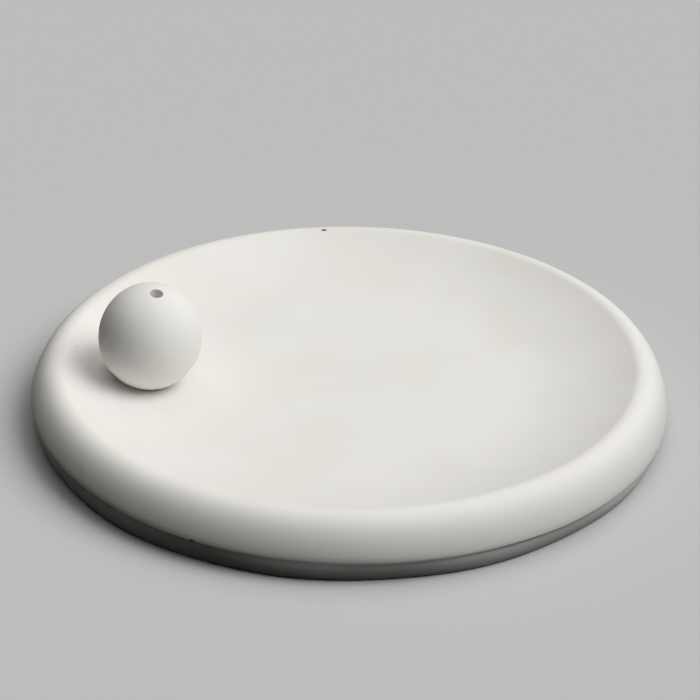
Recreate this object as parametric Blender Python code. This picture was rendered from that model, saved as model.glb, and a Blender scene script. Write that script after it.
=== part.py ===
"""Round cast incense tray with a loose ball that holds the incense stick.

Metres, +Z up. The origin is the centre of the tray's flat underside, and the tray's front
is towards -Y. The tray and the ball are two separate castings: the ball stands by its own
weight on the tray's inner slope and lifts off.
"""

import math

import bmesh
import bpy
from mathutils import Vector

MM = 0.001

# Tray
TRAY_RADIUS = 60.0 * MM          # widest, at the mould's parting line
RIM_HEIGHT = 11.6 * MM           # top of the rolled rim
RIM_ROLL_WIDTH = 5.5 * MM        # from the top of the rim out to the widest place
RIM_INNER_ROUNDING = 3.0 * MM    # radius where the rim turns down into the tray
ROLL_STOP_ANGLE = math.radians(19.0)   # the roll stops this far short of upright
SEAM_HEIGHT = 4.7 * MM           # the parting line above the table
SEAM_STEP = 0.12 * MM            # how far the roll stands proud of the band at the line
BAND_DRAW_IN = 1.4 * MM          # how far the band under the line draws in to the base
BAND_START_ANGLE = math.radians(15.0)  # with the end angle, how much the band is bowed
BAND_END_ANGLE = math.radians(55.0)
BASE_EDGE_ROUNDING = 0.7 * MM
FLOOR_THICKNESS = 6.7 * MM
SLOPE_WIDTH = 24.2 * MM          # from the top of the rim in to the flat middle of the floor

# Ball
BALL_RADIUS = 9.65 * MM          # half its width
BALL_HALF_HEIGHT = 10.15 * MM    # half its height before the foot is cut flat
FOOT_RADIUS = 4.8 * MM           # flat foot that it stands on
FOOT_EDGE_ROUNDING = 0.3 * MM
STICK_HOLE_RADIUS = 1.2 * MM
STICK_HOLE_DEPTH = 12.0 * MM
STICK_HOLE_FLARE = 0.2 * MM      # small bevel round the hole's mouth
STICK_HOLE_LEAN = math.radians(10.0)        # off the ball's own axis
STICK_HOLE_TURN = math.radians(-90.0)       # way it leans, from downhill
BALL_FROM_RIM = 15.95 * MM       # from the top of the rim in to the centre of the foot
BALL_SEAT_TURN = math.radians(184.1)        # round the tray, from +X
SEAT_CLEARANCE = 0.3 * MM        # least gap between the foot and the slope

# Fineness of the faces
TRAY_SEGMENTS = 96
BALL_SEGMENTS = 48
HOLE_SEGMENTS = 24
ROLL_STEPS = 12
BAND_STEPS = 4
ROUNDING_STEPS = 4
BEVEL_STEPS = 3
SLOPE_STEPS = 12
BALL_STEPS = 22
MERGE_DISTANCE = 0.001 * MM
CUTTER_OVERRUN = 1.0 * MM
SHARP_EDGE = math.radians(35.0)

# Finish of both castings
CAST_COLOR = (0.77, 0.75, 0.70, 1.0)
CAST_ROUGHNESS = 0.8


def clear_scene():
    for old in list(bpy.data.objects):
        bpy.data.objects.remove(old, do_unlink=True)


def cast_material(name):
    material = bpy.data.materials.new(name)
    material.use_nodes = True
    shader = material.node_tree.nodes["Principled BSDF"]
    shader.inputs["Base Color"].default_value = CAST_COLOR
    shader.inputs["Roughness"].default_value = CAST_ROUGHNESS
    shader.inputs["Metallic"].default_value = 0.0
    return material


def arc(center, radii, start, end, steps):
    """Points on an ellipse's arc in the (radius, height) plane, both ends included."""
    points = []
    for step in range(steps + 1):
        angle = start + (end - start) * step / steps
        points.append((center[0] + radii[0] * math.cos(angle),
                       center[1] + radii[1] * math.sin(angle)))
    return points


def round_ring(shape, radius, height, rounding):
    """Round the ring of edges that lies at this radius and height."""
    def on_ring(vert):
        return (abs(vert.co.z - height) < MERGE_DISTANCE
                and abs(vert.co.xy.length - radius) < MERGE_DISTANCE)

    ring = [edge for edge in shape.edges if all(on_ring(vert) for vert in edge.verts)]
    bmesh.ops.bevel(shape, geom=ring, offset=rounding, segments=BEVEL_STEPS, profile=0.5,
                    affect="EDGES", material=-1)


def turned_object(name, profile, segments, rounded_corners=()):
    """Spin a (radius, height) profile, which starts and ends on the axis, into one closed body.

    Each rounded corner is a (radius, height, rounding) of one of the profile's points.
    """
    shape = bmesh.new()
    verts = [shape.verts.new((radius, 0.0, height)) for radius, height in profile]
    edges = [shape.edges.new(pair) for pair in zip(verts, verts[1:])]
    bmesh.ops.spin(shape, geom=verts + edges, cent=(0, 0, 0), axis=(0, 0, 1),
                   angle=math.tau, steps=segments, use_merge=True)
    bmesh.ops.remove_doubles(shape, verts=shape.verts, dist=MERGE_DISTANCE)
    for radius, height, rounding in rounded_corners:
        round_ring(shape, radius, height, rounding)
    bmesh.ops.recalc_face_normals(shape, faces=shape.faces)
    mesh = bpy.data.meshes.new(name)
    shape.to_mesh(mesh)
    shape.free()
    mesh.shade_smooth()
    mesh.set_sharp_from_angle(angle=SHARP_EDGE)
    turned = bpy.data.objects.new(name, mesh)
    bpy.context.scene.collection.objects.link(turned)
    return turned


def crest_radius():
    return TRAY_RADIUS - RIM_ROLL_WIDTH


def floor_radius():
    return crest_radius() - SLOPE_WIDTH


def slope_arc():
    """Radius and steepest angle of the inner slope.

    The slope is an arc that leaves the flat floor level and meets the rim's inner rounding
    where both lean alike, so the two radii together span the way from floor to crest.
    """
    rise = RIM_HEIGHT - FLOOR_THICKNESS
    both_radii = (SLOPE_WIDTH ** 2 + rise ** 2) / (2.0 * rise)
    return both_radii - RIM_INNER_ROUNDING, math.asin(SLOPE_WIDTH / both_radii)


def slope_at(radius):
    """Height and lean of the tray's upper surface at a radius on the floor or the slope."""
    slope_radius, _steepest = slope_arc()
    lean = math.asin(max(0.0, radius - floor_radius()) / slope_radius)
    return FLOOR_THICKNESS + slope_radius * (1.0 - math.cos(lean)), lean


def band_radius():
    """The band's radius where it meets the parting line."""
    return TRAY_RADIUS - SEAM_STEP


def under_band():
    """Bowed band from the base's corner up to the parting line: part of an ellipse."""
    half_width = BAND_DRAW_IN / (math.cos(BAND_START_ANGLE) - math.cos(BAND_END_ANGLE))
    half_height = SEAM_HEIGHT / (math.sin(BAND_END_ANGLE) - math.sin(BAND_START_ANGLE))
    center = (band_radius() - half_width * math.cos(BAND_START_ANGLE),
              SEAM_HEIGHT + half_height * math.sin(BAND_START_ANGLE))
    return arc(center, (half_width, half_height), -BAND_END_ANGLE, -BAND_START_ANGLE, BAND_STEPS)


def rim_roll():
    """Outside of the rim, from the parting line up to the crest: part of an ellipse."""
    half_width = RIM_ROLL_WIDTH / math.cos(ROLL_STOP_ANGLE)
    half_height = (RIM_HEIGHT - SEAM_HEIGHT) / (1.0 - math.sin(ROLL_STOP_ANGLE))
    center = (crest_radius(), RIM_HEIGHT - half_height)
    return arc(center, (half_width, half_height), ROLL_STOP_ANGLE, math.pi / 2, ROLL_STEPS)


def rim_inside():
    """Inner side of the rim and the slope, from just past the crest down to the flat floor."""
    slope_radius, steepest = slope_arc()
    rounding = (RIM_INNER_ROUNDING, RIM_INNER_ROUNDING)
    crest = (crest_radius(), RIM_HEIGHT - RIM_INNER_ROUNDING)
    turn = arc(crest, rounding, math.pi / 2, math.pi / 2 + steepest, ROUNDING_STEPS)
    hollow = (floor_radius(), FLOOR_THICKNESS + slope_radius)
    slope = arc(hollow, (slope_radius, slope_radius), -math.pi / 2 + steepest, -math.pi / 2,
                SLOPE_STEPS)
    return turn[1:] + slope[1:]


def make_tray():
    underside = [(0.0, 0.0)]
    floor = [(0.0, FLOOR_THICKNESS)]
    profile = underside + under_band() + rim_roll() + rim_inside() + floor
    base_corner = (band_radius() - BAND_DRAW_IN, 0.0, BASE_EDGE_ROUNDING)
    tray = turned_object("incense_tray", profile, TRAY_SEGMENTS, [base_corner])
    tray.data.materials.append(cast_material("tray_casting"))
    return tray


def foot_depth():
    """Distance from the ball's middle down to its flat foot."""
    return BALL_HALF_HEIGHT * math.sqrt(1.0 - (FOOT_RADIUS / BALL_RADIUS) ** 2)


def mouth_distance():
    """Distance from the ball's middle to its skin, along the stick hole."""
    across = math.sin(STICK_HOLE_LEAN) / BALL_RADIUS
    along = math.cos(STICK_HOLE_LEAN) / BALL_HALF_HEIGHT
    return 1.0 / math.hypot(across, along)


def make_stick_hole_cutter(ball):
    mouth = mouth_distance()
    end = mouth - STICK_HOLE_DEPTH
    top = mouth + CUTTER_OVERRUN
    profile = [(0.0, end),
               (STICK_HOLE_RADIUS, end),
               (STICK_HOLE_RADIUS, mouth - STICK_HOLE_FLARE),
               (STICK_HOLE_RADIUS + STICK_HOLE_FLARE + CUTTER_OVERRUN, top),
               (0.0, top)]
    cutter = turned_object("stick_hole_cutter", profile, HOLE_SEGMENTS)
    cutter.parent = ball
    cutter.location = (0.0, 0.0, foot_depth())
    cutter.rotation_euler = (0.0, STICK_HOLE_LEAN, STICK_HOLE_TURN)
    cutter.hide_render = True
    cutter.display_type = "WIRE"
    return cutter


def seat_ball(ball):
    """Stand the ball's foot on the slope, square to it, with its X axis pointing downhill."""
    seat_radius = crest_radius() - BALL_FROM_RIM
    height, lean = slope_at(seat_radius)
    slope_radius, _steepest = slope_arc()
    hollow_under_foot = slope_radius - math.sqrt(slope_radius ** 2 - FOOT_RADIUS ** 2)
    outward = Vector((math.cos(BALL_SEAT_TURN), math.sin(BALL_SEAT_TURN), 0.0))
    square_to_slope = Vector((0.0, 0.0, math.cos(lean))) - outward * math.sin(lean)
    on_slope = outward * seat_radius + Vector((0.0, 0.0, height))
    ball.location = on_slope + square_to_slope * (SEAT_CLEARANCE + hollow_under_foot)
    ball.rotation_euler = (0.0, lean, BALL_SEAT_TURN - math.pi)


def make_ball():
    foot_angle = -math.acos(FOOT_RADIUS / BALL_RADIUS)
    body = arc((0.0, foot_depth()), (BALL_RADIUS, BALL_HALF_HEIGHT), foot_angle, math.pi / 2,
               BALL_STEPS)
    profile = [(0.0, 0.0)] + body[:-1] + [(0.0, foot_depth() + BALL_HALF_HEIGHT)]
    foot_corner = (FOOT_RADIUS, 0.0, FOOT_EDGE_ROUNDING)
    ball = turned_object("stick_holder_ball", profile, BALL_SEGMENTS, [foot_corner])
    ball.data.materials.append(cast_material("ball_casting"))
    seat_ball(ball)
    hole = ball.modifiers.new("stick_hole", "BOOLEAN")
    hole.operation = "DIFFERENCE"
    hole.object = make_stick_hole_cutter(ball)
    return ball


def main():
    clear_scene()
    make_tray()
    make_ball()


main()
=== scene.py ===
"""Incense tray: a round casting in matte gypsum, with the loose ball that holds the stick.

The file is laid out as an add-on and is run as a script. Lengths are metres, +Z is up and the
tray's front is towards -Y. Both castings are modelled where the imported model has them.
"""

import math
import random

import bmesh
import bpy
from mathutils import Matrix, Vector, noise
from mathutils.bvhtree import BVHTree


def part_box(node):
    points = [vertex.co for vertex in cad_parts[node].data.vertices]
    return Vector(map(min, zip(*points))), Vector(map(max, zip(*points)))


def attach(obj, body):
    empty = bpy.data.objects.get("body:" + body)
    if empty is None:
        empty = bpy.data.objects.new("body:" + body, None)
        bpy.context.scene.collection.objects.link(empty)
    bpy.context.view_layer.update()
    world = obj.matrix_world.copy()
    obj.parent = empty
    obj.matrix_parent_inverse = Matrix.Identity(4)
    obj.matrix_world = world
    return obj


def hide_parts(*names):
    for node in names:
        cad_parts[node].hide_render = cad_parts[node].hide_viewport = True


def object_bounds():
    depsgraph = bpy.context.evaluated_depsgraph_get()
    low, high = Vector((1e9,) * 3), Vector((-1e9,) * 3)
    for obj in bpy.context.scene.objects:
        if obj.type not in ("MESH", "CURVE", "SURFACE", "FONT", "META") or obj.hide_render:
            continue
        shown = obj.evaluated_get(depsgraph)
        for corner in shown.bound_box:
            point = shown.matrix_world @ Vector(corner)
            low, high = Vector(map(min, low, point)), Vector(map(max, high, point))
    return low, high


bl_info = {
    "name": "Incense Tray",
    "version": (1, 0, 0),
    "blender": (4, 5, 0),
    "location": "3D View > Sidebar > Incense Tray",
    "description": "Models a cast gypsum incense tray and its loose stick holder ball",
    "category": "Add Mesh",
}

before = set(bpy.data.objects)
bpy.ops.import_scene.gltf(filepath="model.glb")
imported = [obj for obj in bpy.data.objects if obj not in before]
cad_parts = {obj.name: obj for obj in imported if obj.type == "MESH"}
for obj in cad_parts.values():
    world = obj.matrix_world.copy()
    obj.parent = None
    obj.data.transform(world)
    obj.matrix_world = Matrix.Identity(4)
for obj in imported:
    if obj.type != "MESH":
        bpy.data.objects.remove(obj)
CAD_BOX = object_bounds()
TRAY_TOP_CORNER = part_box("incense_tray")[1]

MM = 0.001
MERGE_DISTANCE = 0.001 * MM
SHARP_EDGE = math.radians(35.0)
OUTSIDE = 1.0                    # metres, well outside of both castings

# How finely the castings are turned
WEDGES = 12
TRAY_SEGMENTS = 480
BALL_SEGMENTS = 192
FLOOR_STEPS = 18
SLOPE_STEPS = 26
ROUNDING_STEPS = 10
ROLL_STEPS = 30
ROLL_EASING_STEPS = 8
BAND_STEPS = 14
UNDERSIDE_STEPS = 26
BASE_EDGE_STEPS = 6
BALL_STEPS = 90
LIP_STEPS = 8
HOLE_WALL_STEPS = 14
HOLE_BOTTOM_STEPS = 2
SHORTEST_FOOT_EDGE = 0.05 * MM   # shorter ones, left where the foot is cut, are merged away
PIT_SEGMENTS = 20
PIT_STEPS = 5

# Slow waves round the rim, each as times round, height and place of the top of its first wave:
# of the parting line's height, of the band's radius at the base, of the step over the band as a
# share of its size, and of the painted shade in the line, which stands in for the shadow under the
# step. The line runs lower at the right, because the mould didn't lie quite level.
SEAM_WANDER = ((0, -0.35 * MM, 0.0), (1, 0.85 * MM, math.radians(180.0)),
               (3, 0.18 * MM, math.radians(-48.0)), (7, 0.05 * MM, math.radians(-42.0)))
BASE_BULGE = ((3, 0.06 * MM, 0.0), (11, 0.14 * MM, math.radians(130.0)))
STEP_CHANGE = ((1, 0.5, math.radians(-48.0)), (3, 0.6, math.radians(-48.0)))
SEAM_PAINTED_SHADE = ((0, 0.55, 0.0), (1, 0.45, math.radians(-35.0)))

# Where the crease at the parting line is rubbed smooth: the middle and half the length of the
# stretch, half its height, and the number of passes, each over a little less than the one before
RUBBED_MIDDLE = math.radians(-87.0)
RUBBED_REACH = math.radians(34.0)
RUBBED_HEIGHT = 1.6 * MM
RUBBING_PASSES = 18

# Swells of the sanded surface: how wide each is, and the height that they start at, so that the
# flat foot stays flat
TRAY_SWELL_WIDTH = 22.0 * MM
TRAY_SWELL_START = 0.5 * MM
BALL_SWELL_WIDTH = 9.0 * MM
BALL_SWELL_START = 1.0 * MM

# Pits that air bubbles left against the mould, each as its place round the tray, its radius if it
# is on the upper side or its height if it is on the outside, and its size. Some get painted shade.
PITS = ((math.radians(96.1), 53.9 * MM, None, 0.23 * MM),
        (math.radians(-116.3), None, 4.6 * MM, 0.22 * MM),
        (math.radians(176.7), 52.1 * MM, None, 0.14 * MM),
        (math.radians(-77.3), 33.3 * MM, None, 0.11 * MM),
        (math.radians(-34.0), None, 7.4 * MM, 0.1 * MM))
PITS_WITH_PAINTED_SHADE = 2                   # the first of them

# Smaller pits at random places: how many, whether they are seen from above, the smallest and the
# largest size, and the seed of the random draws
SANDED_TOP_PITS = (16, True, 0.05 * MM, 0.11 * MM, 3)
POURED_UNDERSIDE_PITS = (60, False, 0.07 * MM, 0.45 * MM, 5)
SANDED_BALL_PITS = (7, True, 0.05 * MM, 0.11 * MM, 11)
SMALL_PIT_BIAS = 3               # the higher, the more of the pits are near the smallest size
PIT_SPACING = 3.0                # least distance between two pits, over their sizes together
PIT_MARGIN = 1.15                # width of the opening that a pit is set in, over the pit's own
POLE_RADIUS = 5.0 * MM           # no pits here, where the narrow faces at the axis meet

# Scratch on the rim's outside: its middle as a place round the tray, a radius and a height, half
# its width and half its length, and its lean off upright
SCRATCH_MIDDLE = (math.radians(217.7), 59.3 * MM, 7.4 * MM)
SCRATCH_HALF = (0.16 * MM, 1.5 * MM)
SCRATCH_LEAN = math.radians(28.0)
SCRATCH_REACH = 1.5 * MM         # how far in and out of its middle it still marks the surface

# Widths of the patterns of the finish
CLOUD_WIDTH = 20.0 * MM
PATCH_WIDTH = 5.0 * MM           # patches that were sanded more or less
GRAIN_WIDTH = 0.4 * MM           # drawn coarser than the real crystals, which can't show
BUBBLE_SPACING = 3.0 * MM
PINHOLE_RADIUS = 0.07 * MM
PINHOLE_FLOOR_RADIUS = 0.04 * MM  # where it is at its deepest
# Painted shade along the parting line: how far it reaches to either side, and how wide its lumps
# are
SEAM_SHADE_REACH = 0.25 * MM           # to either side of the parting line
SEAM_SHADE_LUMP_WIDTH = 2.5 * MM
STROKE_WIDTH = 0.8 * MM
STROKE_LENGTH = 20.0 * MM
STROKE_TURN = math.radians(25.0)

# Depths of the patterns of the finish, how much its roughness changes, and its gloss
GRAIN_DEPTH = 0.008 * MM
STROKE_DEPTH = 0.15 * MM
PINHOLE_DEPTH = 0.05 * MM
SCRATCH_DEPTH = 0.1 * MM
ROUGHNESS_CHANGE = 0.08
GYPSUM_IOR = 1.52

# Stage
FLOOR_RADIUS = 4.0
FLOOR_SEGMENTS = 64
SENSOR_WIDTH = 36.0              # millimetres, as the lens is
NEAREST_SEEN = 10.0 * MM


def hex_color(code):
    """Linear red, green and blue of an sRGB colour written as #RRGGBB."""
    channels = [int(code[start:start + 2], 16) / 255.0 for start in (1, 3, 5)]
    return [channel / 12.92 if channel <= 0.04045 else ((channel + 0.055) / 1.055) ** 2.4
            for channel in channels]


def length(name, description, default):
    return bpy.props.FloatProperty(name=name, description=description, default=default,
                                   min=0.0, unit="LENGTH", precision=5)


def angle(name, description, degrees):
    return bpy.props.FloatProperty(name=name, description=description,
                                   default=math.radians(degrees), subtype="ANGLE")


def color(name, description, code):
    return bpy.props.FloatVectorProperty(name=name, description=description,
                                         default=hex_color(code), subtype="COLOR",
                                         min=0.0, max=1.0)


def share(name, description, default):
    return bpy.props.FloatProperty(name=name, description=description, default=default,
                                   min=0.0, max=1.0, subtype="FACTOR")


def strength(name, description, default):
    return bpy.props.FloatProperty(name=name, description=description, default=default, min=0.0)


class TraySizes(bpy.types.PropertyGroup):
    """Sizes of the tray's casting"""

    radius: length("Radius", "Widest radius, at the parting line", TRAY_TOP_CORNER.x)
    rim_height: length("Rim Height", "Top of the rim above the table", TRAY_TOP_CORNER.z)
    roll_width: length("Roll Width", "From the top of the rim out to the widest place", 5.5 * MM)
    roll_stop: angle("Roll Stop", "How far short of upright the roll's bow ends", 19.0)
    roll_easing: length("Roll Easing", "How far up the roll its lower edge is eased upright",
                        1.3 * MM)
    inner_rounding: length("Inner Rounding", "Radius where the rim turns inwards", 3.0 * MM)
    seam_height: length("Seam Height", "Parting line above the table", 4.7 * MM)
    seam_step: length("Seam Step", "How far the roll stands over the band", 0.12 * MM)
    band_draw_in: length("Band Draw-in", "How far the band draws in to the base", 1.4 * MM)
    band_start: angle("Band Start", "Where the band's bow starts, under level", 15.0)
    band_end: angle("Band End", "Where the band's bow ends, under level", 55.0)
    base_rounding: length("Base Rounding", "How far up the band its lower edge is rounded",
                          0.6 * MM)
    floor_thickness: length("Floor Thickness", "Gypsum under the flat middle", 6.7 * MM)
    slope_width: length("Slope Width", "From the rim's top in to the flat middle", 24.2 * MM)
    swell: length("Swell", "Height of the slight swells of the hand-sanded surface", 0.05 * MM)


class BallSizes(bpy.types.PropertyGroup):
    """Sizes and place of the ball's casting"""

    radius: length("Radius", "Half of the ball's width", 9.65 * MM)
    half_height: length("Half Height", "Half of its height before the foot is cut", 10.15 * MM)
    foot_radius: length("Foot Radius", "Flat foot that it stands on", 4.8 * MM)
    foot_easing: length("Foot Easing", "Width of the eased edge of the foot", 0.15 * MM)
    hole_radius: length("Hole Radius", "Hole for the incense stick", 1.2 * MM)
    hole_depth: length("Hole Depth", "Depth of the blind hole", 12.0 * MM)
    hole_bottom: length("Hole Bottom", "Rounding at the bottom of the hole", 0.5 * MM)
    lip_rounding: length("Lip Rounding", "Rounding of the hole's mouth", 0.15 * MM)
    hole_lean: angle("Hole Lean", "Lean of the hole off the ball's own axis", 10.0)
    hole_turn: angle("Hole Turn", "Way that the hole leans, from downhill", -90.0)
    from_rim: length("From Rim", "From the top of the rim in to the foot's centre", 15.95 * MM)
    seat_turn: angle("Seat Turn", "Place round the tray, from the right", 184.1)
    clearance: length("Clearance", "Least gap between the foot and the slope", 0.3 * MM)
    swell: length("Swell", "Height of the slight swells of the surface", 0.03 * MM)


class GypsumFinish(bpy.types.PropertyGroup):
    """Finish of both castings"""

    body: color("Gypsum", "Colour of the dry gypsum", "#F6F5F2")
    cloud: color("Clouds", "Colour of the denser, slightly darker patches", "#F2F1EC")
    # Painted shade: the pinholes are darkened with this colour in place of the shade down inside
    # them
    pinhole_shade: color("Pinholes", "Colour down in the small air holes", "#B5AFA6")
    # Painted shade: a darker colour that stands in for the shadow in the crease at the parting
    # line, and that also darkens the scratch
    crease: color("Crease", "Colour of the dust in the parting line and a scratch", "#A39C90")
    # Painted shade: a dark colour that stands in for the shadow down in the larger pits
    painted_pit_shade: color("Pit Dust", "Colour of the dust in the larger pits", "#4A443C")
    underside: color("Underside", "Colour of the poured and scraped underside", "#EFEDE6")
    roughness: share("Roughness", "Roughness of the sanded surface", 0.8)


class StudioSettings(bpy.types.PropertyGroup):
    """Floor, light and camera"""

    floor: color("Floor", "Colour of the floor and backdrop", "#CDCFD0")
    key_color: color("Key", "Colour of the soft light from the right", "#FFFFFF")
    key_strength: strength("Key Strength", "Strength of the soft light from the right", 1.53)
    key_turn: angle("Key Turn", "Side that the key light comes from, from the right", -15.0)
    key_height: angle("Key Height", "Height of the key light above level", 50.0)
    key_spread: angle("Key Spread", "Width of the key light as the tray sees it", 40.0)
    top_color: color("Top", "Colour of the wide light from above, a little warm", "#FFFCF8")
    top_strength: strength("Top Strength", "Strength of the wide light from above", 1.45)
    top_turn: angle("Top Turn", "Side that the top light leans to, from the right", 20.0)
    top_height: angle("Top Height", "Height of the top light above level", 75.0)
    top_spread: angle("Top Spread", "Width of the top light as the tray sees it", 80.0)
    fill_color: color("Fill", "Colour of the light from all round", "#FFE0B8")
    fill_strength: share("Fill Strength", "Strength of the light from all round", 0.005)
    bounce: share("Bounce", "Share of its light that the floor throws back up", 0.01)
    lens: bpy.props.FloatProperty(
        name="Lens", description="Focal length on a 36 mm sensor", default=123.43, min=1.0,
        unit="CAMERA")
    camera_distance: length("Camera Distance", "From the middle of the base", 456.9 * MM)
    camera_height: angle("Camera Height", "Angle the camera looks down at", 30.08)
    camera_tilt: angle("Camera Tilt", "Turn of the view upwards", 1.381)
    camera_roll: angle("Camera Roll", "Turn of the view about its middle", 0.68)


class IncenseTraySettings(bpy.types.PropertyGroup):
    """Everything that can be changed about the tray, the ball and the studio"""

    tray: bpy.props.PointerProperty(
        type=TraySizes, name="Tray", description="Sizes of the tray's casting")
    ball: bpy.props.PointerProperty(
        type=BallSizes, name="Ball", description="Sizes and place of the ball's casting")
    gypsum: bpy.props.PointerProperty(
        type=GypsumFinish, name="Gypsum", description="Finish of both castings")
    studio: bpy.props.PointerProperty(
        type=StudioSettings, name="Studio", description="Floor, light and camera")


def draw_arc(section, center, radii, start, end, steps):
    """Add part of an ellipse to a section in the XZ plane and return its two end points.

    A point on a circle is swung round, then stretched and moved. The angles run from +X to +Z.
    """
    drawn = set(section.verts)
    first = section.verts.new((math.cos(start), 0.0, math.sin(start)))
    swung = bmesh.ops.spin(section, geom=[first], cent=(0, 0, 0), axis=(0, -1, 0),
                           angle=end - start, steps=steps)
    arc = [vert for vert in section.verts if vert not in drawn]
    bmesh.ops.scale(section, vec=(radii[0], 1.0, radii[1]), verts=arc)
    bmesh.ops.translate(section, vec=(center[0], 0.0, center[1]), verts=arc)
    return first, swung["geom_last"][0]


def draw_line(section, start, end, steps):
    """Add a straight line of a number of steps to a section and return its two end points."""
    first = section.verts.new((start[0], 0.0, start[1]))
    step = ((end[0] - start[0]) / steps, 0.0, (end[1] - start[1]) / steps)
    swept = bmesh.ops.spin(section, geom=[first], cent=(0, 0, 0), axis=(0, -1, 0), dvec=step,
                           steps=steps)
    return first, swept["geom_last"][0]


def turn_section(section, parts, segments):
    """Join the parts of a section end to end and spin it round Z into a closed body.

    One wedge is spun and the others are turned copies of it, which is quicker than a full spin.
    """
    for (_first, last), (first, _last) in zip(parts, parts[1:]):
        section.edges.new((last, first))
    bmesh.ops.remove_doubles(section, verts=section.verts, dist=MERGE_DISTANCE)
    wedge = math.tau / WEDGES
    bmesh.ops.spin(section, geom=section.verts[:] + section.edges[:], cent=(0, 0, 0),
                   axis=(0, 0, 1), angle=wedge, steps=segments // WEDGES)
    everything = section.verts[:] + section.edges[:] + section.faces[:]
    bmesh.ops.spin(section, geom=everything, cent=(0, 0, 0), axis=(0, 0, 1),
                   angle=math.tau - wedge, steps=WEDGES - 1, use_duplicate=True)
    bmesh.ops.remove_doubles(section, verts=section.verts, dist=MERGE_DISTANCE)
    bmesh.ops.recalc_face_normals(section, faces=section.faces)


def finished_piece(name, shape, material):
    """Turn a shape that is in its place into an object with smooth shading."""
    mesh = bpy.data.meshes.new(name)
    shape.to_mesh(mesh)
    shape.free()
    mesh.shade_smooth()
    mesh.set_sharp_from_angle(angle=SHARP_EDGE)
    mesh.materials.append(material)
    piece = bpy.data.objects.new(name, mesh)
    bpy.context.scene.collection.objects.link(piece)
    return piece


def waves(turn, kinds):
    """Height at an angle round the rim of a few slow waves added together."""
    return sum(height * math.cos(times * (turn - top)) for times, height, top in kinds)


def crest_radius(tray):
    return tray.radius - tray.roll_width


def flat_radius(tray):
    return crest_radius(tray) - tray.slope_width


def slope_arc(tray):
    """Radius and steepest angle of the inner slope, which meets the rim's rounding smoothly."""
    rise = tray.rim_height - tray.floor_thickness
    both_radii = (tray.slope_width ** 2 + rise ** 2) / (2.0 * rise)
    return both_radii - tray.inner_rounding, math.asin(tray.slope_width / both_radii)


def slope_at(tray, radius):
    """Height and lean of the tray's upper surface at a radius on the floor or the slope."""
    slope_radius, _steepest = slope_arc(tray)
    lean = math.asin(max(0.0, radius - flat_radius(tray)) / slope_radius)
    return tray.floor_thickness + slope_radius * (1.0 - math.cos(lean)), lean


def bow_at(center, radii, height):
    """Angle on a bow, which is part of an ellipse, at a height, and its radius and lean there."""
    on_bow = math.asin((height - center[1]) / radii[1])
    facing = math.atan2(math.sin(on_bow) * radii[0], math.cos(on_bow) * radii[1])
    return on_bow, center[0] + radii[0] * math.cos(on_bow), facing


def roll_bow(tray):
    """Centre and radii of the bow of the rolled rim."""
    width = tray.roll_width / math.cos(tray.roll_stop)
    height = (tray.rim_height - tray.seam_height) / (1.0 - math.sin(tray.roll_stop))
    return (crest_radius(tray), tray.rim_height - height), (width, height)


def easing_arc(tray):
    """Centre, radius and upper angle of the arc that turns the roll's lower edge upright."""
    center, radii = roll_bow(tray)
    _on_bow, reach, facing = bow_at(center, radii, tray.seam_height + tray.roll_easing)
    radius = tray.roll_easing / math.sin(facing)
    return (reach - radius * math.cos(facing), tray.seam_height), radius, facing


def seam_radius(tray):
    """The roll's radius at the parting line."""
    center, radius, _facing = easing_arc(tray)
    return center[0] + radius


def tray_section(section, tray):
    """Draw the tray's section, from the middle of the underside round to that of the floor."""
    band_width = tray.band_draw_in / (math.cos(tray.band_start) - math.cos(tray.band_end))
    band_height = tray.seam_height / (math.sin(tray.band_end) - math.sin(tray.band_start))
    band_center = (seam_radius(tray) - tray.seam_step - band_width * math.cos(tray.band_start),
                   tray.seam_height + band_height * math.sin(tray.band_start))
    edge_angle, edge_reach, edge_facing = bow_at(band_center, (band_width, band_height),
                                                 tray.base_rounding)
    edge_radius = tray.base_rounding / (1.0 + math.sin(edge_facing))
    edge_center = (edge_reach - edge_radius * math.cos(edge_facing), edge_radius)
    easing_center, easing_radius, easing_facing = easing_arc(tray)
    roll_center, roll_radii = roll_bow(tray)
    roll_start = bow_at(roll_center, roll_radii, tray.seam_height + tray.roll_easing)[0]
    slope_radius, steepest = slope_arc(tray)
    rounding_center = (crest_radius(tray), tray.rim_height - tray.inner_rounding)
    slope_center = (flat_radius(tray), tray.floor_thickness + slope_radius)
    bottom, top = -math.pi / 2, math.pi / 2
    return [
        draw_line(section, (0.0, 0.0), (edge_center[0], 0.0), UNDERSIDE_STEPS),
        draw_arc(section, edge_center, (edge_radius, edge_radius), bottom, edge_facing,
                 BASE_EDGE_STEPS),
        draw_arc(section, band_center, (band_width, band_height), edge_angle, -tray.band_start,
                 BAND_STEPS),
        draw_arc(section, easing_center, (easing_radius, easing_radius), 0.0, easing_facing,
                 ROLL_EASING_STEPS),
        draw_arc(section, roll_center, roll_radii, roll_start, top, ROLL_STEPS),
        draw_arc(section, rounding_center, (tray.inner_rounding, tray.inner_rounding), top,
                 top + steepest, ROUNDING_STEPS),
        draw_arc(section, slope_center, (slope_radius, slope_radius), bottom + steepest, bottom,
                 SLOPE_STEPS),
        draw_line(section, (flat_radius(tray), tray.floor_thickness),
                  (0.0, tray.floor_thickness), FLOOR_STEPS),
    ]


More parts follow.
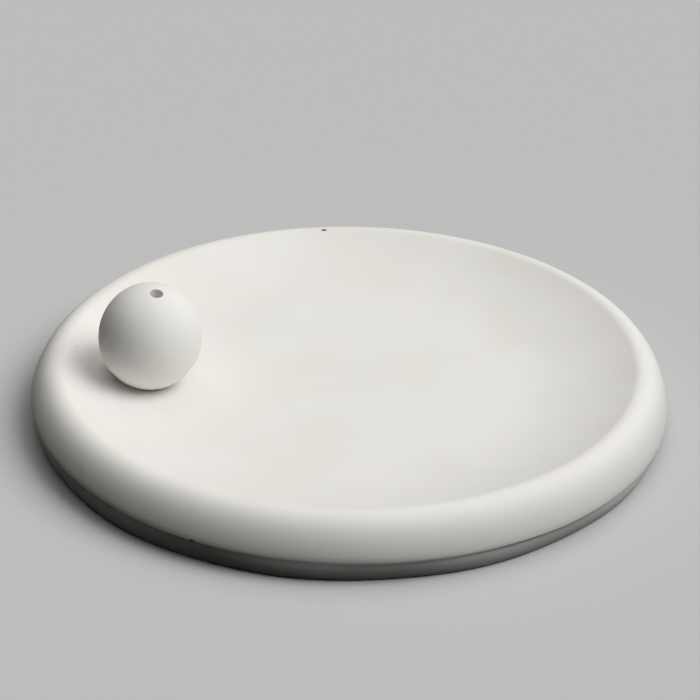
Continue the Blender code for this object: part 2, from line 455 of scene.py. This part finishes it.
def finish_rim_by_hand(shape, tray):
    """Let the parting line, the step over the band and the band itself wander round the rim."""
    roll_edge = seam_radius(tray) - MERGE_DISTANCE
    for vert in shape.verts:
        outwards = Vector((vert.co.x, vert.co.y, 0.0))
        radius = outwards.length
        if radius < crest_radius(tray):
            continue
        outwards /= radius
        turn = math.atan2(vert.co.y, vert.co.x)
        height = vert.co.z
        if height < tray.seam_height + MERGE_DISTANCE and radius < roll_edge:
            up_band = height / tray.seam_height
            step_change = tray.seam_step * waves(turn, STEP_CHANGE)
            bulge = waves(turn, BASE_BULGE) * (1.0 - up_band ** 2)
            vert.co += outwards * (bulge - step_change * up_band ** 2)
            vert.co.z += waves(turn, SEAM_WANDER) * up_band
        else:
            up_roll = (height - tray.seam_height) / (tray.rim_height - tray.seam_height)
            vert.co.z += waves(turn, SEAM_WANDER) * (1.0 - up_roll) ** 2


def rub_crease_smooth(shape, tray):
    """Smooth the crease at the parting line away where the front of the rim was rubbed more."""
    for done in range(RUBBING_PASSES):
        left = 1.0 - done / RUBBING_PASSES
        rubbed = [vert for vert in shape.verts
                  if abs(vert.co.z - tray.seam_height) < RUBBED_HEIGHT * left
                  and abs(math.atan2(vert.co.y, vert.co.x) - RUBBED_MIDDLE) < RUBBED_REACH * left
                  and vert.co.xy.length > crest_radius(tray)]
        bmesh.ops.smooth_vert(shape, verts=rubbed, factor=0.5, use_axis_x=True,
                              use_axis_y=True, use_axis_z=True)


def swell_surface(shape, height, width, start):
    """Give a casting the slight swells that sanding by hand leaves, but not its flat foot.

    The noise runs from -1 to 1, and is lowered by 0.5, because sanding mostly takes away.
    """
    shape.normal_update()
    for vert in shape.verts:
        if vert.co.z > start:
            swell = noise.noise(vert.co / width) - 0.5
            vert.co += vert.normal * height * swell


def outside_point(tree, turn, radius, height):
    """Point on a casting's upper side at a radius, or on its outside at a height."""
    around = Vector((math.cos(turn), math.sin(turn), 0.0))
    if height is None:
        start = around * radius + Vector((0.0, 0.0, OUTSIDE))
        found = tree.ray_cast(start, Vector((0.0, 0.0, -1.0)))
    else:
        found = tree.ray_cast(around * OUTSIDE + Vector((0.0, 0.0, height)), -around)
    return found[0]


def scatter_pits(tree, pits, kind):
    """Add small pits at random places that are seen from above or from below."""
    count, from_above, smallest, largest, seed = kind
    dice = random.Random(seed)
    corner_low, corner_high = CAD_BOX
    side = OUTSIDE if from_above else -OUTSIDE
    wanted = len(pits) + count
    while len(pits) < wanted:
        start = Vector((dice.uniform(corner_low.x, corner_high.x),
                        dice.uniform(corner_low.y, corner_high.y), side))
        size = smallest + (largest - smallest) * dice.random() ** SMALL_PIT_BIAS
        place = tree.ray_cast(start, Vector((0.0, 0.0, -side)))[0]
        if place is None or place.xy.length < POLE_RADIUS:
            continue
        if all((place - other).length > PIT_SPACING * (size + near) for other, near in pits):
            pits.append((place, size))


def tray_pits(shape):
    """Places and sizes of the tray's pits: few on the sanded top, more on the poured underside."""
    tree = BVHTree.FromBMesh(shape)
    pits = [(outside_point(tree, turn, radius, height), size)
            for turn, radius, height, size in PITS]
    scatter_pits(tree, pits, SANDED_TOP_PITS)
    scatter_pits(tree, pits, POURED_UNDERSIDE_PITS)
    return pits


def ball_pits(shape):
    """Places and sizes of the few small pits in the ball's upper side."""
    pits = []
    scatter_pits(BVHTree.FromBMesh(shape), pits, SANDED_BALL_PITS)
    return pits


def sink_bowl(shape, rim, center, normal, size):
    """Draw a ring of edges down and in, a step at a time, until it closes as a round bowl."""
    for step in range(PIT_STEPS):
        drop, next_drop = (math.pi / 2 * done / PIT_STEPS for done in (step, step + 1))
        drawn = bmesh.ops.extrude_edge_only(shape, edges=rim)["geom"]
        ring = [part for part in drawn if isinstance(part, bmesh.types.BMVert)]
        rim = [part for part in drawn if isinstance(part, bmesh.types.BMEdge)
               and all(vert in ring for vert in part.verts)]
        narrower = math.cos(next_drop) / math.cos(drop)
        here = center - normal * size * math.sin(drop)
        bmesh.ops.scale(shape, vec=(narrower, narrower, narrower), verts=ring,
                        space=Matrix.Translation(-here))
        bmesh.ops.translate(shape, verts=ring,
                            vec=normal * size * (math.sin(drop) - math.sin(next_drop)))


def faces_near(tree, place, distance):
    """Numbers of the faces that come within a distance of a place."""
    return {found[2] for found in tree.find_nearest_range(place, distance)}


def add_to(shape, part):
    """Add a part, which is freed, to a shape."""
    mesh = bpy.data.meshes.new("part")
    part.to_mesh(mesh)
    part.free()
    shape.from_mesh(mesh)
    bpy.data.meshes.remove(mesh)


def lift_out(shape, numbers):
    """Move some faces of a shape to a small shape of their own, which is quicker to work on."""
    copied = shape.copy()
    for part, keeps in ((copied, True), (shape, False)):
        part.faces.index_update()
        spare = [face for face in part.faces if (face.index in numbers) != keeps]
        bmesh.ops.delete(part, geom=spare, context="FACES")
    patches = bmesh.new()
    add_to(patches, copied)
    return patches


def sink_pits(shape, pits):
    """Sink a round bowl into a casting for each pit, sharp at its edge.

    The faces that a pit touches come out, and a ring that is drawn on the surface there is
    bridged to the edge of that opening. A pit too close to another one is left out.
    """
    skin = BVHTree.FromBMesh(shape)
    taken = set()
    spaced = []
    for place, size in pits:
        touched = faces_near(skin, place, PIT_MARGIN * size)
        if taken.isdisjoint(touched):
            taken |= touched
            spaced.append((place, size))

    patches = lift_out(shape, taken)
    tree = BVHTree.FromBMesh(patches)
    faces = patches.faces[:]
    for place, size in spaced:
        numbers = sorted(faces_near(tree, place, PIT_MARGIN * size))
        touched = [faces[number] for number in numbers]
        normal = sum((face.normal for face in touched), Vector()).normalized()
        around = dict.fromkeys(edge for face in touched for edge in face.edges)
        opening = [edge for edge in around
                   if sum(face in touched for face in edge.link_faces) == 1]
        bmesh.ops.delete(patches, geom=touched, context="FACES_KEEP_BOUNDARY")
        turned = Vector((0.0, 0.0, 1.0)).rotation_difference(normal).to_matrix().to_4x4()
        ring = bmesh.ops.create_circle(patches, segments=PIT_SEGMENTS, radius=size,
                                       matrix=Matrix.Translation(place) @ turned)["verts"]
        for vert in ring:
            vert.co = skin.ray_cast(vert.co + normal * size, -normal)[0]
        rim = list(dict.fromkeys(edge for vert in ring for edge in vert.link_edges))
        bmesh.ops.bridge_loops(patches, edges=opening + rim)
        sink_bowl(patches, rim, place, normal, size)
    add_to(shape, patches)
    bmesh.ops.remove_doubles(shape, verts=shape.verts, dist=MERGE_DISTANCE)
    bmesh.ops.recalc_face_normals(shape, faces=shape.faces)


def ball_section(section, ball):
    """Draw the section of a ball with a blind hole in its top, round the hole's own axis."""
    lip_radius = ball.hole_radius + ball.lip_rounding
    lip_height = math.sqrt((ball.radius - ball.lip_rounding) ** 2 - lip_radius ** 2)
    lip_start = math.atan2(lip_height, lip_radius)
    bottom = ball.radius - ball.hole_depth
    rounding = ball.hole_bottom
    wall_bottom = (ball.hole_radius, bottom + rounding)
    return [
        draw_arc(section, (0.0, 0.0), (ball.radius, ball.radius), -math.pi / 2, lip_start,
                 BALL_STEPS),
        draw_arc(section, (lip_radius, lip_height), (ball.lip_rounding, ball.lip_rounding),
                 lip_start, math.pi, LIP_STEPS),
        draw_line(section, (ball.hole_radius, lip_height), wall_bottom, HOLE_WALL_STEPS),
        draw_arc(section, (ball.hole_radius - rounding, bottom + rounding), (rounding, rounding),
                 0.0, -math.pi / 2, LIP_STEPS),
        draw_line(section, (ball.hole_radius - rounding, bottom), (0.0, bottom),
                  HOLE_BOTTOM_STEPS),
    ]


def foot_depth(ball):
    """Distance from the ball's middle down to its flat foot."""
    return ball.half_height * math.sqrt(1.0 - (ball.foot_radius / ball.radius) ** 2)


def seat_matrix(tray, ball):
    """Place that stands the ball's foot square on the slope, with its X axis downhill."""
    seat_radius = crest_radius(tray) - ball.from_rim
    height, lean = slope_at(tray, seat_radius)
    slope_radius, _steepest = slope_arc(tray)
    hollow_under_foot = slope_radius - math.sqrt(slope_radius ** 2 - ball.foot_radius ** 2)
    outward = Vector((math.cos(ball.seat_turn), math.sin(ball.seat_turn), 0.0))
    square_to_slope = Vector((0.0, 0.0, math.cos(lean))) - outward * math.sin(lean)
    on_slope = outward * seat_radius + Vector((0.0, 0.0, height))
    foot = on_slope + square_to_slope * (ball.clearance + hollow_under_foot)
    turned = Matrix.Rotation(ball.seat_turn - math.pi, 4, "Z") @ Matrix.Rotation(lean, 4, "Y")
    return Matrix.Translation(foot) @ turned


def lean_hole(shape, ball):
    """Lean the hole off the ball's axis, then stretch the ball to its full height."""
    stretch = ball.half_height / ball.radius
    lean = math.atan(math.tan(ball.hole_lean) * stretch)
    turned = Matrix.Rotation(ball.hole_turn, 3, "Z") @ Matrix.Rotation(lean, 3, "Y")
    bmesh.ops.rotate(shape, cent=(0, 0, 0), matrix=turned, verts=shape.verts)
    bmesh.ops.scale(shape, vec=(1.0, 1.0, stretch), verts=shape.verts)


def cut_foot(shape, ball):
    """Cut the foot flat, close it and ease its edge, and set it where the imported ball's foot is.

    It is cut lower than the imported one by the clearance, so that the ball rests on the slope.
    """
    depth = foot_depth(ball)
    eased = ball.foot_easing * math.tan(math.asin(ball.foot_radius / ball.radius) / 2.0)
    everything = shape.verts[:] + shape.edges[:] + shape.faces[:]
    cut = bmesh.ops.bisect_plane(shape, geom=everything, plane_no=(0.0, 0.0, -1.0),
                                 plane_co=(0.0, 0.0, eased - depth - ball.clearance),
                                 clear_outer=True)
    rim = [part for part in cut["geom_cut"] if isinstance(part, bmesh.types.BMVert)]
    bmesh.ops.remove_doubles(shape, verts=rim, dist=SHORTEST_FOOT_EDGE)
    edge_of_foot = [edge for edge in shape.edges if edge.is_boundary]
    foot = bmesh.ops.contextual_create(shape, geom=edge_of_foot)["faces"]
    bmesh.ops.recalc_face_normals(shape, faces=shape.faces)
    bmesh.ops.inset_region(shape, faces=foot, thickness=ball.foot_easing, depth=eased)
    bmesh.ops.translate(shape, vec=(0.0, 0.0, depth), verts=shape.verts)


def mark_foot(shape, top):
    """Note on each point, for the finish, if it is on the flat face that was scraped level."""
    scraped = shape.verts.layers.float.new("scraped")
    for vert in shape.verts:
        vert[scraped] = 1.0 if vert.co.z < top else 0.0


def mark_seam(shape, tray):
    """Note on each point its height over the parting line, and the painted shade it gets there."""
    above_seam = shape.verts.layers.float.new("above_seam")
    seam_painted_shade = shape.verts.layers.float.new("seam_painted_shade")
    for vert in shape.verts:
        turn = math.atan2(vert.co.y, vert.co.x)
        rubbed = max(0.0, 1.0 - ((turn - RUBBED_MIDDLE) / RUBBED_REACH) ** 4)
        vert[above_seam] = vert.co.z - tray.seam_height - waves(turn, SEAM_WANDER)
        vert[seam_painted_shade] = waves(turn, SEAM_PAINTED_SHADE) * (1.0 - rubbed)


def mark_pits_with_painted_shade(shape, pits):
    """Note on each point, for the finish, if it is in a pit that gets painted shade."""
    painted_pit_shade = shape.verts.layers.float.new("painted_pit_shade")
    for vert in shape.verts:
        inside = any((vert.co - place).length < PIT_MARGIN * size for place, size in pits)
        vert[painted_pit_shade] = 1.0 if inside else 0.0


def add_node(tree, kind, inputs=None, **settings):
    """Add a node with its settings. An input is a value, or the output that it is linked to."""
    node = tree.nodes.new(kind)
    for name, value in settings.items():
        setattr(node, name, value)
    for socket, value in (inputs or {}).items():
        if isinstance(value, bpy.types.NodeSocket):
            tree.links.new(value, node.inputs[socket])
        else:
            node.inputs[socket].default_value = value
    return node


def clouded_tone(tree, place, gypsum):
    """Faint clouds, where the casting dried unevenly."""
    clouds = add_node(tree, "ShaderNodeTexNoise",
                      {"Vector": place, "Scale": 1.0 / CLOUD_WIDTH, "Detail": 3.0})
    clear = add_node(tree, "ShaderNodeMapRange", interpolation_type="SMOOTHSTEP",
                     inputs={"Value": clouds.outputs["Fac"], "From Min": 0.35, "From Max": 0.65})
    tone = add_node(tree, "ShaderNodeMix", data_type="RGBA",
                    inputs={"Factor": clear.outputs["Result"], "A": (*gypsum.cloud, 1.0),
                            "B": (*gypsum.body, 1.0)})
    return tone.outputs["Result"]


def powdery_roughness(tree, place, gypsum):
    """Patches that were sanded a little more or less."""
    patches = add_node(tree, "ShaderNodeTexNoise", {"Vector": place, "Scale": 1.0 / PATCH_WIDTH})
    roughness = add_node(tree, "ShaderNodeMapRange",
                         {"Value": patches.outputs["Fac"], "From Min": 0.3, "From Max": 0.7,
                          "To Min": gypsum.roughness - ROUGHNESS_CHANGE,
                          "To Max": gypsum.roughness + ROUGHNESS_CHANGE})
    return roughness.outputs["Result"]


def pinholes(tree, place):
    """Pinholes, where the skin cuts through one of the bubbles that are spread all through."""
    bubbles = add_node(tree, "ShaderNodeTexVoronoi",
                       {"Vector": place, "Scale": 1.0 / BUBBLE_SPACING})
    holes = add_node(tree, "ShaderNodeMapRange", interpolation_type="SMOOTHSTEP",
                     inputs={"Value": bubbles.outputs["Distance"],
                             "From Min": PINHOLE_RADIUS / BUBBLE_SPACING,
                             "From Max": PINHOLE_FLOOR_RADIUS / BUBBLE_SPACING})
    return holes.outputs["Result"]


def painted_shade_in_seam(tree, place):
    """Painted shade along the parting line for the shadow under the step, broken up into lumps."""
    above_seam = add_node(tree, "ShaderNodeAttribute", attribute_name="above_seam")
    away = add_node(tree, "ShaderNodeMath", {0: above_seam.outputs["Fac"]}, operation="ABSOLUTE")
    near = add_node(tree, "ShaderNodeMapRange", interpolation_type="SMOOTHSTEP",
                    inputs={"Value": away.outputs["Value"], "From Min": SEAM_SHADE_REACH,
                            "From Max": 0.0})
    lumps = add_node(tree, "ShaderNodeTexNoise",
                     {"Vector": place, "Scale": 1.0 / SEAM_SHADE_LUMP_WIDTH})
    broken_up = add_node(tree, "ShaderNodeMapRange", interpolation_type="SMOOTHSTEP",
                         inputs={"Value": lumps.outputs["Fac"], "From Min": 0.2,
                                 "From Max": 0.45})
    seam_painted_shade = add_node(tree, "ShaderNodeAttribute", attribute_name="seam_painted_shade")
    there = add_node(tree, "ShaderNodeMath", operation="MULTIPLY",
                     inputs={0: broken_up.outputs["Result"], 1: seam_painted_shade.outputs["Fac"]})
    painted_shade = add_node(tree, "ShaderNodeMath", operation="MULTIPLY",
                    inputs={0: near.outputs["Result"], 1: there.outputs["Value"]})
    return painted_shade.outputs["Value"]


def scraper_strokes(tree, place, scraped):
    """Long narrow strokes, which a scraper left across the poured face."""
    along = add_node(tree, "ShaderNodeMapping",
                     {"Vector": place, "Rotation": (0.0, 0.0, STROKE_TURN),
                      "Scale": (1.0 / STROKE_LENGTH, 1.0 / STROKE_WIDTH, 1.0)})
    strokes = add_node(tree, "ShaderNodeTexNoise",
                       {"Vector": along.outputs["Vector"], "Scale": 1.0})
    on_face = add_node(tree, "ShaderNodeMath", operation="MULTIPLY",
                       inputs={0: strokes.outputs["Fac"], 1: scraped})
    return on_face.outputs["Value"]


def rim_scratch(tree, place):
    """A scratch up the rim's outside, deepest in its middle, darkened with painted shade."""
    turn, radius, height = SCRATCH_MIDDLE
    half_width, half_length = SCRATCH_HALF
    middle = (radius * math.cos(turn), radius * math.sin(turn), height)
    across = add_node(tree, "ShaderNodeMapping", vector_type="TEXTURE",
                      inputs={"Vector": place, "Location": middle,
                              "Rotation": (SCRATCH_LEAN, 0.0, turn),
                              "Scale": (SCRATCH_REACH, half_width, half_length)})
    away = add_node(tree, "ShaderNodeVectorMath", {0: across.outputs["Vector"]},
                    operation="LENGTH")
    scratch = add_node(tree, "ShaderNodeMapRange", interpolation_type="SMOOTHSTEP",
                       inputs={"Value": away.outputs["Value"], "From Min": 1.0,
                               "From Max": 0.1})
    return scratch.outputs["Result"]


def cast_gypsum(name, settings):
    """Gypsum poured in a rubber mould, dried and sanded by hand.

    It is matte and slightly powdery. The eye sees faint clouds where it dried unevenly, a fine
    grain, pinholes that air bubbles left, a scratch, and on the underside the strokes of the
    scraper that levelled the poured face. Painted shade darkens the pinholes, the parting line,
    the scratch and the larger pits.
    """
    gypsum = settings.gypsum
    material = bpy.data.materials.new(name)
    material.use_nodes = True
    tree = material.node_tree
    shader = tree.nodes["Principled BSDF"]
    shader.inputs["IOR"].default_value = GYPSUM_IOR
    place = add_node(tree, "ShaderNodeTexCoord").outputs["Object"]
    scraped = add_node(tree, "ShaderNodeAttribute", attribute_name="scraped").outputs["Fac"]
    painted_pit_shade = add_node(tree, "ShaderNodeAttribute", attribute_name="painted_pit_shade").outputs["Fac"]
    holes = pinholes(tree, place)
    scratch = rim_scratch(tree, place)
    grain = add_node(tree, "ShaderNodeTexNoise", {"Vector": place, "Scale": 1.0 / GRAIN_WIDTH})

    tone = clouded_tone(tree, place, gypsum)
    # Painted shade: the pinhole, crease and pit colours darken the pinholes, the parting line, the
    # scratch and the larger pits; the underside's colour is its own
    for amount, tint in ((holes, gypsum.pinhole_shade), (painted_shade_in_seam(tree, place), gypsum.crease),
                         (scratch, gypsum.crease), (painted_pit_shade, gypsum.painted_pit_shade),
                         (scraped, gypsum.underside)):
        mixed = add_node(tree, "ShaderNodeMix", data_type="RGBA",
                         inputs={"Factor": amount, "A": tone, "B": (*tint, 1.0)})
        tone = mixed.outputs["Result"]
    tree.links.new(tone, shader.inputs["Base Color"])
    tree.links.new(powdery_roughness(tree, place, gypsum), shader.inputs["Roughness"])

    relief = add_node(tree, "ShaderNodeBump",
                      {"Height": grain.outputs["Fac"], "Distance": GRAIN_DEPTH})
    for height, depth, inwards in ((scraper_strokes(tree, place, scraped), STROKE_DEPTH, False),
                                   (holes, PINHOLE_DEPTH, True), (scratch, SCRATCH_DEPTH, True)):
        relief = add_node(tree, "ShaderNodeBump", invert=inwards,
                          inputs={"Height": height, "Distance": depth,
                                  "Normal": relief.outputs["Normal"]})
    tree.links.new(relief.outputs["Normal"], shader.inputs["Normal"])
    return material


class CastTray(bpy.types.Operator):
    """Model the tray's casting and give it its finish"""

    bl_idname = "incense_tray.cast_tray"
    bl_label = "Cast Tray"

    def execute(self, context):
        settings = context.scene.incense_tray
        tray = settings.tray
        shape = bmesh.new()
        turn_section(shape, tray_section(shape, tray), TRAY_SEGMENTS)
        finish_rim_by_hand(shape, tray)
        rub_crease_smooth(shape, tray)
        swell_surface(shape, tray.swell, TRAY_SWELL_WIDTH, TRAY_SWELL_START)
        bmesh.ops.recalc_face_normals(shape, faces=shape.faces)
        pits = tray_pits(shape)
        sink_pits(shape, pits)
        mark_foot(shape, MERGE_DISTANCE)
        mark_seam(shape, tray)
        mark_pits_with_painted_shade(shape, pits[:PITS_WITH_PAINTED_SHADE])
        piece = finished_piece("tray_cast", shape, cast_gypsum("tray_cast_gypsum", settings))
        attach(piece, "tray")
        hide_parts("incense_tray")
        return {"FINISHED"}


class CastBall(bpy.types.Operator):
    """Model the ball's casting with its stick hole, and stand it on the tray's slope"""

    bl_idname = "incense_tray.cast_ball"
    bl_label = "Cast Ball"

    def execute(self, context):
        settings = context.scene.incense_tray
        ball = settings.ball
        shape = bmesh.new()
        turn_section(shape, ball_section(shape, ball), BALL_SEGMENTS)
        lean_hole(shape, ball)
        cut_foot(shape, ball)
        bmesh.ops.recalc_face_normals(shape, faces=shape.faces)
        swell_surface(shape, ball.swell, BALL_SWELL_WIDTH, BALL_SWELL_START)
        mark_foot(shape, MERGE_DISTANCE - ball.clearance)
        shape.transform(seat_matrix(settings.tray, ball))
        sink_pits(shape, ball_pits(shape))
        piece = finished_piece("ball_cast", shape, cast_gypsum("ball_cast_gypsum", settings))
        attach(piece, "ball")
        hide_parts("stick_holder_ball")
        return {"FINISHED"}


def seen_directly(tree):
    """1 for what the camera sees, also in a gloss or through glass, and 0 for what lights."""
    ray = add_node(tree, "ShaderNodeLightPath").outputs
    plain_or_gloss = add_node(tree, "ShaderNodeMath", operation="MAXIMUM",
                              inputs={0: ray["Is Camera Ray"], 1: ray["Is Glossy Ray"]})
    seen = add_node(tree, "ShaderNodeMath", operation="MAXIMUM",
                    inputs={0: plain_or_gloss.outputs["Value"], 1: ray["Is Transmission Ray"]})
    return seen.outputs["Value"]


def studio_floor(studio):
    """Wide round paper floor, which throws back less light than a white one would."""
    shape = bmesh.new()
    bmesh.ops.create_circle(shape, cap_ends=True, segments=FLOOR_SEGMENTS, radius=FLOOR_RADIUS)
    material = bpy.data.materials.new("matte_paper")
    material.use_nodes = True
    tree = material.node_tree
    tree.nodes.clear()
    seen = seen_directly(tree)
    pale = add_node(tree, "ShaderNodeBsdfDiffuse", {"Color": (*studio.floor, 1.0)})
    dim_color = [channel * studio.bounce for channel in studio.floor]
    dim = add_node(tree, "ShaderNodeBsdfDiffuse", {"Color": (*dim_color, 1.0)})
    both = add_node(tree, "ShaderNodeMixShader",
                    {0: seen, 1: dim.outputs["BSDF"], 2: pale.outputs["BSDF"]})
    add_node(tree, "ShaderNodeOutputMaterial", {"Surface": both.outputs["Shader"]})
    floor = finished_piece("studio_floor", shape, material)


def soft_lamp(name, light_color, energy, spread, height, turn):
    """A far lamp as wide as its spread, at a height above level and turned from the right."""
    light = bpy.data.lights.new(name, "SUN")
    light.color = light_color
    light.energy = energy
    light.angle = spread
    lamp = bpy.data.objects.new(name, light)
    lamp.rotation_euler = (0.0, math.pi / 2 - height, turn)
    bpy.context.scene.collection.objects.link(lamp)


def studio_light(studio):
    """A soft light from the right, a wide one from above, and a weak one from all round."""
    soft_lamp("key_light", studio.key_color, studio.key_strength, studio.key_spread,
              studio.key_height, studio.key_turn)
    soft_lamp("top_light", studio.top_color, studio.top_strength, studio.top_spread,
              studio.top_height, studio.top_turn)

    world = bpy.data.worlds.new("studio")
    world.use_nodes = True
    tree = world.node_tree
    tree.nodes.clear()
    seen = seen_directly(tree)
    fill = add_node(tree, "ShaderNodeBackground",
                    {"Color": (*studio.fill_color, 1.0), "Strength": studio.fill_strength})
    pale = add_node(tree, "ShaderNodeBackground", {"Color": (*studio.floor, 1.0)})
    both = add_node(tree, "ShaderNodeMixShader",
                    {0: seen, 1: fill.outputs["Background"], 2: pale.outputs["Background"]})
    add_node(tree, "ShaderNodeOutputWorld", {"Surface": both.outputs["Shader"]})
    bpy.context.scene.world = world


def studio_camera(studio):
    """Camera that looks down at the middle of the base, then tilts up and rolls a little."""
    lens = bpy.data.cameras.new("camera")
    lens.lens = studio.lens
    lens.sensor_width = SENSOR_WIDTH
    lens.clip_start = NEAREST_SEEN
    camera = bpy.data.objects.new("camera", lens)
    back = Vector((0.0, -math.cos(studio.camera_height), math.sin(studio.camera_height)))
    looking = Matrix.Rotation(math.pi / 2 - studio.camera_height, 4, "X")
    tilt = Matrix.Rotation(studio.camera_tilt, 4, "X")
    roll = Matrix.Rotation(studio.camera_roll, 4, "Z")
    place = Matrix.Translation(back * studio.camera_distance)
    camera.matrix_world = place @ looking @ tilt @ roll
    bpy.context.scene.collection.objects.link(camera)
    bpy.context.scene.camera = camera


class SetStage(bpy.types.Operator):
    """Set up the floor, the light and the camera"""

    bl_idname = "incense_tray.set_stage"
    bl_label = "Set Stage"

    def execute(self, context):
        studio = context.scene.incense_tray.studio
        studio_floor(studio)
        studio_light(studio)
        studio_camera(studio)
        context.scene.view_settings.view_transform = "Standard"
        return {"FINISHED"}


class IncenseTrayPanel(bpy.types.Panel):
    """Lists the pieces, the stage and what can be changed about them"""

    bl_idname = "VIEW3D_PT_incense_tray"
    bl_label = "Incense Tray"
    bl_space_type = "VIEW_3D"
    bl_region_type = "UI"
    bl_category = "Incense Tray"

    def draw(self, context):
        settings = context.scene.incense_tray
        for part, operator in (("tray", CastTray), ("ball", CastBall), ("gypsum", None),
                               ("studio", SetStage)):
            group = getattr(settings, part)
            column = self.layout.column(align=True)
            for name in group.bl_rna.properties.keys():
                if name not in ("rna_type", "name"):
                    column.prop(group, name)
            if operator:
                column.operator(operator.bl_idname)


CLASSES = (TraySizes, BallSizes, GypsumFinish, StudioSettings, IncenseTraySettings, CastTray,
           CastBall, SetStage, IncenseTrayPanel)


def register():
    for cls in CLASSES:
        bpy.utils.register_class(cls)
    bpy.types.Scene.incense_tray = bpy.props.PointerProperty(
        type=IncenseTraySettings, name="Incense Tray", description="Settings of the incense tray")


def unregister():
    del bpy.types.Scene.incense_tray
    for cls in reversed(CLASSES):
        bpy.utils.unregister_class(cls)


def main():
    register()
    bpy.ops.incense_tray.cast_tray()
    bpy.ops.incense_tray.cast_ball()
    bpy.ops.incense_tray.set_stage()


if __name__ == "__main__":
    main()
